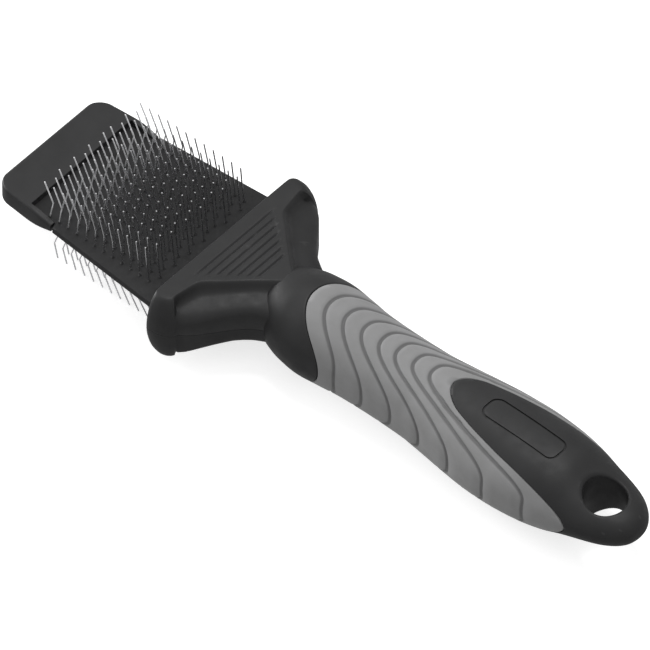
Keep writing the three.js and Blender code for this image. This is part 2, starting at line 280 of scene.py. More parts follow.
def drawn_steel():
    """Bright drawn wire with small changes of polish, and a painted highlight: less metallic and whiter
    in the front rows.
    """
    material, nodes, links, main = shader("drawn_steel", (0.8, 0.8, 0.82), 0.22, 0.5, 1.0)
    streak = noise(nodes, links, 900, 3)
    tint = ramp(nodes, links, streak, [(0.3, (0.72, 0.72, 0.74)), (0.7, (0.9, 0.9, 0.91))])
    links.new(tint, main.inputs["Base Color"])
    links.new(spread(nodes, links, noise(nodes, links, 1500, 2), 0.16, 0.3), main.inputs["Roughness"])
    # Painted highlight: the metallic value falls towards the front rows, so that those wires look white.
    place = nodes.new("ShaderNodeTexCoord")
    parts = nodes.new("ShaderNodeSeparateXYZ")
    painted_highlight_metallic = nodes.new("ShaderNodeMapRange")
    links.new(place.outputs["Object"], parts.inputs["Vector"])
    links.new(parts.outputs["X"], painted_highlight_metallic.inputs["Value"])
    painted_highlight_metallic.inputs["From Min"].default_value = TIP_X + PAINTED_HIGHLIGHT_X[0] * MM
    painted_highlight_metallic.inputs["From Max"].default_value = TIP_X + PAINTED_HIGHLIGHT_X[1] * MM
    painted_highlight_metallic.inputs["To Min"].default_value = PAINTED_HIGHLIGHT_METALLIC
    links.new(painted_highlight_metallic.outputs["Result"], main.inputs["Metallic"])
    return material


BLACK = moulded_black()
GREY = grip_grey()
SHEET = blade_black()
STEEL = drawn_steel()

# ---- Handle form ----

# Cross sections as X, half width, half height and height of the centre.
SECTIONS = np.array([
    [85.0, 8.2, 9.2, -0.2],
    [87.0, 10.0, 10.5, -0.2],
    [89.0, 11.3, 11.5, -0.3],
    [92.0, 12.6, 12.4, -0.4],
    [96.0, 13.6, 13.2, -0.6],
    [102.5, 14.3, 13.6, -0.8],
    [110.0, 13.5, 13.4, -0.9],
    [118.0, 12.6, 13.0, -1.0],
    [128.0, 12.3, 13.0, -1.0],
    [138.0, 12.5, 13.0, -1.0],
    [147.0, 13.5, 13.2, -1.0],
    [156.0, 14.9, 13.3, -1.0],
    [165.0, 16.0, 13.3, -1.0],
    [174.0, 16.4, 13.0, -0.8],
    [183.0, 15.9, 12.4, -0.6],
    [191.5, 14.7, 10.9, -0.3],
    [198.0, 13.2, 8.5, -0.1],
    [205.5, 11.4, 6.2, 0.0],
    [210.0, 9.7, 5.4, 0.0],
    [213.4, 7.5, 4.7, 0.0],
    [215.4, 5.5, 3.8, 0.0],
    [216.6, 3.6, 2.5, 0.0],
    [217.05, 2.0, 1.6, 0.0],
    [LENGTH, 0.05, 0.05, 0.0],
])
ROUNDNESS = 2.2
AROUND = 168


def smooth(x, stations, values, flat_ends=False):
    """A value at x on a smooth curve through stations that doesn't overshoot them."""
    x, stations, values = (np.asarray(v, float) for v in (x, stations, values))
    run = np.diff(stations)
    steps = np.diff(values) / run
    same_way = steps[:-1] * steps[1:] > 0
    total = np.where(same_way, steps[:-1] + steps[1:], 1)
    inner = np.where(same_way, 2 * steps[:-1] * steps[1:] / total, 0)
    first, last = (0, 0) if flat_ends else (steps[0], steps[-1])
    slopes = np.concatenate([[first], inner, [last]])
    i = np.clip(np.searchsorted(stations, x, side="right") - 1, 0, len(run) - 1)
    t = np.clip((x - stations[i]) / run[i], 0, 1)
    bend = run[i] * (slopes[i] * (1 - t) ** 2 * t - slopes[i + 1] * (1 - t) * t ** 2)
    return values[i] + (values[i + 1] - values[i]) * (3 - 2 * t) * t ** 2 + bend


def section(x, column):
    """A section value at any X."""
    return smooth(x, SECTIONS[:, 0], SECTIONS[:, column])


def oval(wave):
    return np.sign(wave) * np.abs(wave) ** (2 / ROUNDNESS)


def handle_point(x, angle, inset=0.0):
    """A point of the handle's surface, at an angle from the top, in radians."""
    y = oval(np.sin(angle)) * (section(x, 1) - inset)
    z = oval(np.cos(angle)) * (section(x, 2) - inset) + section(x, 3)
    return np.stack(np.broadcast_arrays(x, y, z), axis=-1)


def handle_top(x, y):
    """The height of the handle's upper surface over a point in plan."""
    share = np.clip(np.abs(y) / section(x, 1), 0, 1)
    return section(x, 3) + section(x, 2) * (1 - share ** ROUNDNESS) ** (1 / ROUNDNESS)


def from_top(angle):
    """Any angle round the section as degrees from the nearer of top and bottom."""
    folded = np.degrees(np.abs(np.arctan2(np.sin(angle), np.cos(angle))))
    return np.minimum(folded, 180 - folded)


# The grip's front edge, its seven grooves and its rear edge are one family of curves round the handle:
# X on the top line, how much further back the curve is at the side, and the angles between which it
# sweeps back.
GRIP_CURVES = [
    (98.9, 12.4, 0, 90),
    (104.8, 11.9, 0, 76),
    (111.3, 15.4, 0, 85),
    (117.8, 19.7, 2, 85),
    (124.6, 24.4, 7, 85),
    (130.6, 30.5, 10, 79),
    (136.9, 37.4, 11.5, 71),
    (143.1, 44.9, 12.5, 65),
]
# The rear edge as X and the angle from the top.
REAR_EDGE = [
    (149.5, 0), (150.2, 7), (151.6, 13.5), (155.6, 23), (161.9, 29), (168.8, 34), (174.7, 38.2),
    (181.1, 43), (187.5, 49.5), (192.2, 56), (196.0, 63.5), (198.9, 75), (200.2, 90),
]
TOP_SHIFT = 0.12
GROOVE_HALF_WIDTH = 0.75
GROOVE_DEPTH = 0.45
GRIP_RADIUS = 13.0
# Angles, in degrees, over which a groove's curve is averaged to round its turns, and their weights.
TURNS = [(-14, 1), (-7, 2), (0, 3), (7, 2), (14, 1)]


def grip_curve(index, angle):
    """X of a curve of the family at each angle."""
    degrees = from_top(angle)
    if index == len(GRIP_CURVES):
        xs, angles = np.array(REAR_EDGE).T
        return smooth(degrees, angles, xs, flat_ends=True)
    top, reach, start, end = GRIP_CURVES[index]
    if index == 0:
        return top + reach * ease((degrees - start) / (end - start))
    total = 0
    for turn, weight in TURNS:
        turned = from_top(angle + math.radians(turn))
        total = total + weight * ease((turned - start) / (end - start))
    return top - TOP_SHIFT * index + reach * total / sum(weight for _, weight in TURNS)


def camera(azimuth, elevation, target, frame_width):
    """A long lens that looks at a target from a direction, with the frame's width in metres there."""
    data = bpy.data.cameras.new("camera")
    data.lens = LENS
    data.sensor_width = 36
    a, e = math.radians(azimuth), math.radians(elevation)
    back = Vector((math.sin(a) * math.cos(e), -math.cos(a) * math.cos(e), math.sin(e)))
    lens_object = bpy.data.objects.new("camera", data)
    bpy.context.scene.collection.objects.link(lens_object)
    distance = frame_width * data.lens / data.sensor_width
    data.clip_end = 4 * distance
    lens_object.location = Vector(target) + back * distance
    lens_object.rotation_euler = back.to_track_quat("Z", "Y").to_euler()
    bpy.context.scene.camera = lens_object


FRONT_END_INSET = 5.0
TANG_INSET = 3.0
SLEEVE_INSIDE = 2.6
# Rounded edges where core and sleeve meet, as distance from the joint's curve and inset from the skin.
CORE_EDGE = [(0.12, 0.18), (0.0, 0.6)]
CORE_SKIN_START = 0.35
SLEEVE_EDGE = [(0.05, 1.6), (0.05, 0.6), (0.12, 0.25), (0.35, 0.0)]
# Across a groove as shares of its half width; it is at full depth up to GROOVE_FLOOR.
GROOVE_STEPS = (-1.0, -0.82, -0.62, -0.45, -0.2, 0.0, 0.2, 0.45, 0.62, 0.82, 1.0)
GROOVE_FLOOR = 0.3
HANG_HOLE_X = 204.3
HANG_HOLE_RADIUS = 6.2
# The hole's rim as distances out from the bore and down from the skin.
RIM = [(0.0, 1.3), (0.05, 0.85), (0.2, 0.45), (0.45, 0.18), (0.75, 0.05), (1.05, -0.03), (1.15, -1.5)]
FRAME_CENTRE_X = 175.0
FRAME_HALF_LENGTH = 13.0
FRAME_HALF_WIDTH = 3.8
FRAME_CORNER = 2.6
FRAME_LINE = 0.33
FRAME_DEPTH = 0.4


def handle_core():
    """The bolster, the tang under the grip, and the tongues and tail, as one closed body."""
    angles = np.linspace(0, 2 * np.pi, AROUND, endpoint=False)
    front = grip_curve(0, angles)
    rear = grip_curve(len(GRIP_CURVES), angles)
    start = SECTIONS[0, 0]
    rings = [handle_point(np.full(AROUND, start), angles, FRONT_END_INSET)]
    for share in np.linspace(0, 1, 30):
        rings.append(handle_point(mix(start, front - CORE_SKIN_START, share), angles))
    rings += [handle_point(front - away, angles, inset) for away, inset in CORE_EDGE]
    rings.append(handle_point(front, angles, TANG_INSET))
    for share in np.linspace(0.1, 0.9, 9):
        rings.append(handle_point(mix(front, rear, share), angles, TANG_INSET))
    rings.append(handle_point(rear, angles, TANG_INSET))
    rings += [handle_point(rear + away, angles, inset) for away, inset in reversed(CORE_EDGE)]
    for share in np.linspace(0, 1, 80):
        eased = 1 - (1 - share) ** 2
        rings.append(handle_point(mix(rear + CORE_SKIN_START, LENGTH - 0.001, eased), angles))
    core = mesh_object("handle_core_moulding", *loft(rings), BLACK)
    cut(core, hang_hole(), badge_line(1), badge_line(-1))
    return finished(core, BLACK, 50)


def hang_hole():
    """What is cut out for the hang hole: a bore whose ends flare to a softly rounded rim."""
    angles = np.linspace(0, 2 * np.pi, 72, endpoint=False)
    rings = []
    profile = [(out, down, -1) for out, down in reversed(RIM)] + [(out, down, 1) for out, down in RIM]
    for out, down, side in profile:
        radius = HANG_HOLE_RADIUS + out
        x = HANG_HOLE_X + radius * np.cos(angles)
        y = radius * np.sin(angles)
        rings.append(np.stack([x, y, side * (handle_top(x, y) - down)], axis=-1))
    return mesh_object("bore", *loft(rings), BLACK)


def badge_line(side):
    """What is cut out for the plain frame line on a tongue: a thin ring along a rounded rectangle."""
    straight_x = FRAME_HALF_LENGTH - FRAME_CORNER
    straight_y = FRAME_HALF_WIDTH - FRAME_CORNER
    rings = []
    for x_side, y_side, start in ((1, 1, 0), (-1, 1, 90), (-1, -1, 180), (1, -1, 270)):
        for step in range(9):
            angle = math.radians(start + step * 11.25)
            out = np.array([math.cos(angle), math.sin(angle)])
            middle = np.array([FRAME_CENTRE_X + x_side * straight_x, y_side * straight_y])
            edges = (FRAME_CORNER - FRAME_LINE, FRAME_CORNER + FRAME_LINE)
            rings.append([middle + out * reach for reach in edges])
        if start in (0, 180):
            corner = middle + np.array([0, FRAME_CORNER * y_side])
            for share in np.linspace(0.05, 0.95, 20):
                along = corner - np.array([x_side * 2 * straight_x * share, 0])
                rings.append([along - [0, y_side * FRAME_LINE], along + [0, y_side * FRAME_LINE]])
    tube = []
    for inner, outer in rings:
        section_points = []
        for (x, y), height in ((inner, -FRAME_DEPTH), (outer, -FRAME_DEPTH), (outer, 1.0), (inner, 1.0)):
            level = handle_top(x, y) if side > 0 else handle_top(x, y) - 2 * section(x, 3)
            section_points.append((x, y, side * (level + height)))
        tube.append(section_points)
    return mesh_object("frame_line", *loft(tube, ends=False), BLACK)


def grip_sleeve():
    """The soft sleeve: each ring runs along the outside over the grooves and back along the inside."""
    angles = np.linspace(0, 2 * np.pi, AROUND, endpoint=False)
    last = len(GRIP_CURVES)
    curves = np.array([grip_curve(i, angles) for i in range(last + 1)])
    lines = []
    for i in range(last + 1):
        x = curves[i]
        if i == 0:
            lines += [(x + away, inset, 0) for away, inset in SLEEVE_EDGE]
        elif i == last:
            lines += [(x - away, inset, 0) for away, inset in reversed(SLEEVE_EDGE)]
        else:
            slope = np.gradient(x, angles[1] - angles[0]) / GRIP_RADIUS
            half = GROOVE_HALF_WIDTH * np.sqrt(1 + slope ** 2)
            for step in GROOVE_STEPS:
                depth = 1 - ease((abs(step) - GROOVE_FLOOR) / (1 - GROOVE_FLOOR))
                lines.append((x + step * half, GROOVE_DEPTH * depth, depth))
        if i < last:
            for share in (0.3, 0.5, 0.7):
                lines.append((mix(x, curves[i + 1], share), 0.0, 0))
    rings = [handle_point(x, angles, inset) for x, inset, _ in lines]
    # The grooves' depth shares are kept on the mesh; the rubber material uses them to paint shade into
    # the grooves.
    marks = [depth for _, _, depth in lines]
    inside = np.linspace(0.02, 0.98, 12)
    for share in inside:
        rings.append(handle_point(mix(curves[last], curves[0], share), angles, SLEEVE_INSIDE))
    marks += [0] * len(inside)
    values = np.repeat(np.array(marks, np.float32), AROUND)
    return mesh_object("grip_sleeve_soft", *loft(rings, ends=False), GREY, 50, ("in_groove", values))


# ---- Yoke ----

YOKE_HALF_HEIGHT = 11.0
PARTING_GAP = 0.06
# The yoke at stations of the top land's edge: X and half width of the land, and X and half width of
# the side wall. Behind the wings, a fifth value is the height of the wall's top.
YOKE_WINGS = np.array([
    [64.9, 26.3, 64.9, 31.7],
    [65.4, 27.5, 65.6, 32.2],
    [66.3, 28.1, 66.9, 32.5],
    [67.8, 28.2, 69.1, 32.4],
    [69.0, 27.8, 71.4, 31.7],
    [69.8, 27.0, 73.2, 30.5],
    [70.15, 26.2, 73.8, 29.7],
])
YOKE_SHELF = np.array([
    [70.3, 25.4, 74.0, 28.9, 4.0],
    [70.8, 21.8, 75.7, 27.8, 4.3],
    [71.7, 17.4, 78.2, 25.2, 4.9],
    [75.4, 13.8, 82.0, 20.3, 5.6],
    [79.5, 9.9, 85.0, 16.6, 6.0],
    [83.5, 6.2, 88.0, 13.8, 6.2],
    [87.6, 2.6, 91.6, 11.7, 5.6],
    [89.5, 1.3, 93.3, 10.8, 5.2],
])
# The same heights on the lower shell, where they fair into the wings.
LOWER_WALL_TOPS = [6.9, 6.5, 5.6, 4.5, 4.0, 4.1, 4.2, 4.2]
# From the land's edge to the wall: share of the way, and share of the height above the wall's top.
STEP = [
    (0.0, 1.0), (0.035, 0.985), (0.075, 0.93), (0.11, 0.85), (0.145, 0.76), (0.185, 0.66),
    (0.235, 0.575), (0.295, 0.51), (0.37, 0.465), (0.47, 0.43), (0.58, 0.39), (0.7, 0.34),
    (0.8, 0.275), (0.88, 0.2), (0.94, 0.115), (0.98, 0.03), (1.0, -0.08),
]
WING_ROUNDNESS = 1.8
LOWER_WING_REAR_ROUNDNESS = 2.7
FRONT_BEVEL = 0.35
WALL_FOOT_Z = 0.2
WALL_FOOT_INSET = 0.1
WING_FOOT_Z = 0.5
LAND_POINTS = 47
# Extra stations where the shape turns quickly.
WING_STATIONS = [65.2, 65.5, 65.9, 66.3, 67, 67.6, 68.2, 68.7, 69.98, 70.15]
SHELF_STATIONS = [70.3, 70.5, 70.8, 71.2, 83.9, 84.6, 85.4, 86.2, 87, 87.8, 88.6, 89.5]
RIBS = 7
RIB_PITCH = 2.2
FIRST_RIB_X = 69.6
RIB_HALF_WIDTH = 0.45
RIB_DEPTH = 0.28
FIRST_RIB_REACH = 16.2
RIB_REACH_LOSS = 0.79  # for each millimetre along X
BLADE_SLOT_HALF_WIDTH = 26.4
BLADE_SLOT_HALF_HEIGHT = 1.35
BLADE_SLOT_MARGIN = 2


def rib_depth(x, y):
    """Depth of the thumb grooves, which fill a triangle of the land."""
    nearest = FIRST_RIB_X + RIB_PITCH * np.clip(np.round((x - FIRST_RIB_X) / RIB_PITCH), 0, RIBS - 1)
    profile = 1 - ease(np.abs(x - nearest) / RIB_HALF_WIDTH)
    reach = FIRST_RIB_REACH - (x - FIRST_RIB_X) * RIB_REACH_LOSS
    return RIB_DEPTH * profile * np.clip(reach - np.abs(y), 0, 1)


def wall_profile(station, roundness):
    """Points (X, Y, Z) from the land's edge down to the parting line on one side."""
    land_x, land_y, wall_x, wall_y = station[:4]
    if roundness:
        turns = np.linspace(np.pi / 2, 0, len(STEP))
        shares = [(np.cos(t) ** (2 / roundness), np.sin(t) ** (2 / roundness)) for t in turns]
        across = [(out, YOKE_HALF_HEIGHT * up) for out, up in shares]
        across[-1] = (1.0, WING_FOOT_Z)
    else:
        across = [(out, mix(station[4], YOKE_HALF_HEIGHT, up)) for out, up in STEP]
    points = [(mix(land_x, wall_x, out), mix(land_y, wall_y, out), z) for out, z in across]
    points.append((wall_x, wall_y, WALL_FOOT_Z))
    points.append((wall_x, wall_y - WALL_FOOT_INSET, PARTING_GAP))
    return points


def yoke_ring(station, roundness=None, bevel=0.0):
    """One closed section of a shell: from wall to wall over the land, and back at the parting line."""
    far_side = wall_profile(station, roundness)
    far_side = [(x, y - bevel, max(z - bevel, PARTING_GAP)) for x, y, z in far_side]
    near_side = [(x, -y, z) for x, y, z in reversed(far_side)]
    land_x, land_y, top = far_side[0]
    land = []
    for share in np.linspace(-1, 1, LAND_POINTS)[1:-1]:
        y = share * land_y
        land.append((land_x, y, top - rib_depth(land_x, y)))
    wall_x, wall_y, _ = far_side[-1]
    slot = min(BLADE_SLOT_HALF_WIDTH, wall_y - BLADE_SLOT_MARGIN)
    under = [(wall_x, slot, PARTING_GAP), (wall_x, slot, BLADE_SLOT_HALF_HEIGHT)]
    under += [(wall_x, -slot, BLADE_SLOT_HALF_HEIGHT), (wall_x, -slot, PARTING_GAP)]
    return near_side + land + far_side + under


def yoke_shell(side):
    """The upper or the lower shell."""
    rings = [yoke_ring(YOKE_WINGS[0], WING_ROUNDNESS, FRONT_BEVEL)]
    rear_roundness = WING_ROUNDNESS if side > 0 else LOWER_WING_REAR_ROUNDNESS
    in_grooves = [FIRST_RIB_X + RIB_PITCH * k + step * RIB_HALF_WIDTH
                  for k in range(RIBS) for step in (-1, -0.6, -0.3, 0, 0.3, 0.6, 1)]
    for table, on_wing, extra in (
        (YOKE_WINGS, True, WING_STATIONS),
        (YOKE_SHELF, False, SHELF_STATIONS),
    ):
        low, high = table[0, 0], table[-1, 0]
        if side < 0 and not on_wing:
            table = np.column_stack([table[:, :4], LOWER_WALL_TOPS])
        for land_x in sorted(set(extra + [x for x in in_grooves if low <= x <= high])):
            station = [land_x] + [float(smooth(land_x, table[:, 0], column)) for column in table.T[1:]]
            back = ease((land_x - low) / (high - low))
            roundness = mix(WING_ROUNDNESS, rear_roundness, back) if on_wing else None
            rings.append(yoke_ring(station, roundness))
    vertices, faces = loft(rings)
    vertices = [(x, y, z * side) for x, y, z in vertices]
    name = "yoke_upper_moulding" if side > 0 else "yoke_lower_moulding"
    return mesh_object(name, vertices, faces, BLACK, 45)


# ---- Blade and end cap ----

BLADE_HALF_THICKNESS = 1.1
BLADE_FRONT = 8.0
BLADE_REAR = 77.0
BETWEEN_CHEEKS = 20.65
CAP_LENGTH = 12.9
CAP_HALF_THICKNESS = 2.95
CAP_CORNER = 5.0
CAP_OVERHANG = 0.55
CAP_EDGE = 0.85
CHEEK_END = 21.4
CHEEK_END_HALF_THICKNESS = 1.3
# The blade's half width at X = 0, its gain for each millimetre up to the widest X, and its loss after.
BLADE_START_HALF_WIDTH = 20.85
BLADE_FLARE = 0.079
BLADE_WIDEST_X = 66
BLADE_NARROWING = 0.25
BLADE_EDGE = 0.4
BLADE_LAYER_LINE = 0.15
# The cap's overhang fades out over this length, which ends this far behind the cheeks.
OVERHANG_FADE = 8
OVERHANG_FADE_PAST = 2
POCKET_HALF_HEIGHT = 1.25
POCKET_CLEARANCE = 0.12
POCKET_END_CLEARANCE = 0.5
BEYOND_CHEEKS = 5
CLEAR_OF_CAP = 9


def blade_half_width(x):
    """The blade widens towards the yoke, and narrows again inside it."""
    flare = BLADE_FLARE * min(x, BLADE_WIDEST_X)
    return BLADE_START_HALF_WIDTH + flare - BLADE_NARROWING * max(x - BLADE_WIDEST_X, 0)


def rounded_section(x, half_width, half_thickness, radius, steps, parting=0.0):
    """A ring across the brush: a rectangle with rounded corners and a fine line along its two sides."""
    ring = []
    for y_side, z_side, start in ((1, 1, 0), (-1, 1, 90), (-1, -1, 180), (1, -1, 270)):
        for step in range(steps + 1):
            angle = math.radians(start + 90 * step / steps)
            y = y_side * (half_width - radius) + radius * math.cos(angle)
            z = z_side * (half_thickness - radius) + radius * math.sin(angle)
            ring.append((x, y, z))
        if start in (90, 270):
            for z in (0.12, 0.0, -0.12):
                reach = half_width - (parting if z == 0 else 0)
                ring.append((x, y_side * reach, z * (1 if start == 90 else -1)))
    return ring


def flexible_blade():
    """The sheet from inside the cap to inside the yoke, as one piece."""
    stations = list(np.arange(BLADE_FRONT, 56, 4.0)) + list(np.arange(56.5, 67, 0.5))
    stations += [70.0, 74.0, BLADE_REAR, CHEEK_END + 0.2, CHEEK_END + 0.9]
    rings = []
    for x in sorted(stations):
        half_width = BETWEEN_CHEEKS if x <= CHEEK_END + 0.2 else blade_half_width(x)
        ring = rounded_section(x, half_width, BLADE_HALF_THICKNESS, BLADE_EDGE, 4, BLADE_LAYER_LINE)
        rings.append(ring)
    return mesh_object("flexible_blade", *loft(rings), SHEET, 35)


def box_cutter(low, high):
    xs, ys, zs = zip(low, high)
    corners = [(x, y, z) for x in xs for y in ys for z in zs]
    faces = [(0, 1, 3, 2), (4, 6, 7, 5), (0, 4, 5, 1), (2, 3, 7, 6), (0, 2, 6, 4), (1, 5, 7, 3)]
    return mesh_object("cutter", corners, faces, BLACK)


def end_cap():
    """The cap: rounded front corners, and a step between two thin cheeks that fair into the blade."""
    stations = [0, 0.04, 0.12, 0.25, 0.42, 0.62, 0.85, 1.2, 1.7, 2.3, 3.0, 3.8, 4.4, CAP_CORNER, 6.0]
    stations += [7.0, 8.0, 10.0, 12.6, CAP_LENGTH, 14.5, 16.2, 18.0, 19.6, 20.8, CHEEK_END]
    rings = []
    for x in stations:
        turn = max(CAP_CORNER - x, 0)
        overhang = CAP_OVERHANG * ease((CHEEK_END + OVERHANG_FADE_PAST - x) / OVERHANG_FADE)
        corner = math.sqrt(CAP_CORNER ** 2 - turn ** 2)
        half_width = blade_half_width(x) + overhang - CAP_CORNER + corner
        lip = max(CAP_EDGE - x, 0)
        half_thickness = CAP_HALF_THICKNESS - CAP_EDGE + math.sqrt(CAP_EDGE ** 2 - lip ** 2)
        if x > CAP_LENGTH:
            along = (x - CAP_LENGTH) / (CHEEK_END - CAP_LENGTH)
            half_thickness = mix(CAP_HALF_THICKNESS, CHEEK_END_HALF_THICKNESS, along ** 1.5)
        rings.append(rounded_section(x, half_width, half_thickness, CAP_EDGE, 6))
    cap = mesh_object("end_cap_moulding", *loft(rings), BLACK)
    inside, beyond = BETWEEN_CHEEKS + POCKET_CLEARANCE, CHEEK_END + BEYOND_CHEEKS
    pocket_start = BLADE_FRONT - POCKET_END_CLEARANCE
    deep, clear = POCKET_HALF_HEIGHT, CLEAR_OF_CAP
    pocket = box_cutter((pocket_start, -inside, -deep), (beyond, inside, deep))
    gap_between = box_cutter((CAP_LENGTH, -inside, -clear), (beyond, inside, clear))
    cut(cap, pocket, gap_between)
    return finished(cap, BLACK, 35)


# ---- Pins ----

PIN_ROWS = 14
ROW_PITCH = 3.04
PINS_IN_ROW = 12
ROW_STAGGER = 1.4
STAGGER_SHIFT_ROW = 8.5  # beyond it the rows that are set back change from odd to even
WIRE_RADIUS = 0.21
PIN_TIP_Z = 13.9
# For each face: where the first and last wires of a row leave the sheet, the height of the knee, and
# how far the knee and the tip lean along X, at the first and at the last wire.
FACES = {
    1: {"base": (18.9, 55.5), "knee_z": 7.5, "knee_lean": (1.36, -0.79), "tip_lean": (-3.12, -0.5)},
    -1: {"base": (23.2, 57.3), "knee_z": 8.7, "knee_lean": (-2.7, -2.7), "tip_lean": (1.2, 3.5)},
}
WIRE_SIDES = 6
WIRE_RINGS = 9
KNEE_SHARE = 0.527  # the ring of the wire blank that becomes the knee
RING_CROWDING = 2.6
SWELL_START = 0.8
SWELL = 1.8
TIP_TAPER = 6.0
TIP_RADIUS_SHARE = 0.6
ROOT_HEIGHT = 0.6
SEAT_SIDES = 8
SEAT_TOP_RADIUS = 0.3
SEAT_FOOT_RADIUS = 0.62
SEAT_HEIGHT = 0.5
SEAT_SUNK = 0.2


class Tree:
    """A Geometry Nodes tree with named number inputs, built by short calls."""

    def __init__(self, name, inputs):
        self.tree = bpy.data.node_groups.new(name, "GeometryNodeTree")
        self.tree.interface.new_socket("Geometry", in_out="INPUT", socket_type="NodeSocketGeometry")
        self.tree.interface.new_socket("Geometry", in_out="OUTPUT", socket_type="NodeSocketGeometry")
        self.sockets = {}
        for label, value in inputs.items():
            kind = "NodeSocketInt" if isinstance(value, int) else "NodeSocketFloat"
            socket = self.tree.interface.new_socket(label, in_out="INPUT", socket_type=kind)
            self.sockets[label] = (socket.identifier, value)
        self.input = self.tree.nodes.new("NodeGroupInput")
        self.output = self.tree.nodes.new("NodeGroupOutput")

    def given(self, label):
        return self.input.outputs[label]

    def link(self, source, target):
        if hasattr(source, "links"):
            self.tree.links.new(source, target)
        else:
            target.default_value = source

    def node(self, kind, settings=None, **inputs):
        node = self.tree.nodes.new(kind)
        for key, value in (settings or {}).items():
            setattr(node, key, value)
        for key, value in inputs.items():
            self.link(value, node.inputs[key.replace("_", " ")])
        return node

    def math(self, operation, *values):
        node = self.tree.nodes.new("ShaderNodeMath")
        node.operation = operation
        for socket, value in zip(node.inputs, values):
            self.link(value, socket)
        return node.outputs[0]

    def between(self, low, high, share):
        """low at share 0, high at share 1."""
        return self.math("MULTIPLY_ADD", self.math("SUBTRACT", high, low), share, low)

    def vector(self, x, y, z):
        return self.node("ShaderNodeCombineXYZ", X=x, Y=y, Z=z).outputs[0]

    def made_mesh(self, name, material):
        """Runs the tree and keeps its result as a plain mesh object."""
        holder = bpy_object(name + "_blank", bpy.data.meshes.new(name + "_blank"))
        modifier = holder.modifiers.new("made", "NODES")
        modifier.node_group = self.tree
        for identifier, value in self.sockets.values():
            modifier[identifier] = value
        depsgraph = bpy.context.evaluated_depsgraph_get()
        mesh = bpy.data.meshes.new_from_object(holder.evaluated_get(depsgraph))
        bpy.data.objects.remove(holder)
        return finished(bpy_object(name, mesh), material, 60)


def face_inputs(side):
    """The tree inputs that say where a face's pins stand, in metres of the frame."""
    face = FACES[side]
    sizes = {"Rows": PIN_ROWS, "Pins": PINS_IN_ROW, "Side": float(side)}
    lengths = {
        "Row pitch": ROW_PITCH, "Stagger": ROW_STAGGER,
        "First base": face["base"][0], "Last base": face["base"][1],
        "Root height": ROOT_HEIGHT, "Sheet top": BLADE_HALF_THICKNESS,
        "Knee height": face["knee_z"], "Tip height": PIN_TIP_Z,
        "First knee lean": face["knee_lean"][0], "Last knee lean": face["knee_lean"][1],
        "First tip lean": face["tip_lean"][0], "Last tip lean": face["tip_lean"][1],
        "Wire radius": WIRE_RADIUS,
    }
    sizes.update({label: value * MM for label, value in lengths.items()})
    sizes.update({"Origin X": float(TIP_X), "Origin Z": float(BLADE_Z)})
    return sizes


def pin_places(tree):
    """One point for each pin, at its root, with the attribute along_row from 0 to 1."""
    depth = tree.math("MULTIPLY", tree.given("Row pitch"), tree.math("SUBTRACT", tree.given("Rows"), 1))
    grid = tree.node("GeometryNodeMeshGrid",
                     Vertices_X=tree.given("Pins"), Vertices_Y=tree.given("Rows"))
    tree.link(1.0, grid.inputs["Size X"])
    tree.link(depth, grid.inputs["Size Y"])
    spot = tree.node("ShaderNodeSeparateXYZ", Vector=tree.node("GeometryNodeInputPosition").outputs[0])
    along = tree.math("ADD", spot.outputs["X"], 0.5)
    marked = tree.node("GeometryNodeStoreNamedAttribute", {"data_type": "FLOAT", "domain": "POINT"},
                       Geometry=grid.outputs["Mesh"], Name="along_row")
    tree.link(along, marked.inputs["Value"])
    from_first = tree.math("MULTIPLY_ADD", depth, 0.5, spot.outputs["Y"])
    row = tree.math("ROUND", tree.math("DIVIDE", from_first, tree.given("Row pitch")))
    shifted = tree.math("ADD", row, tree.math("GREATER_THAN", row, STAGGER_SHIFT_ROW))
    set_back = tree.math("MULTIPLY", tree.math("MODULO", shifted, 2.0), tree.given("Stagger"))
    base = tree.between(tree.given("First base"), tree.given("Last base"), along)
    x = tree.math("ADD", tree.math("ADD", base, set_back), tree.given("Origin X"))
    moved = tree.node("GeometryNodeSetPosition", Geometry=marked.outputs["Geometry"],
                      Position=tree.vector(x, spot.outputs["Y"], 0.0))
    return tree.node("GeometryNodeMeshToPoints", Mesh=moved.outputs[0]).outputs[0]


def finish_tree(tree, points, blank, reshaped, material):
    """Sets a blank on every point, makes it real, moves it to its shape and gives it its material."""
    copies = tree.node("GeometryNodeInstanceOnPoints", Points=points, Instance=blank)
    real = tree.node("GeometryNodeRealizeInstances", Geometry=copies.outputs[0])
    shaped = tree.node("GeometryNodeSetPosition", Geometry=real.outputs[0], Position=reshaped)
    painted = tree.node("GeometryNodeSetMaterial", Geometry=shaped.outputs[0])
    painted.inputs["Material"].default_value = material
    tree.link(painted.outputs[0], tree.output.inputs["Geometry"])


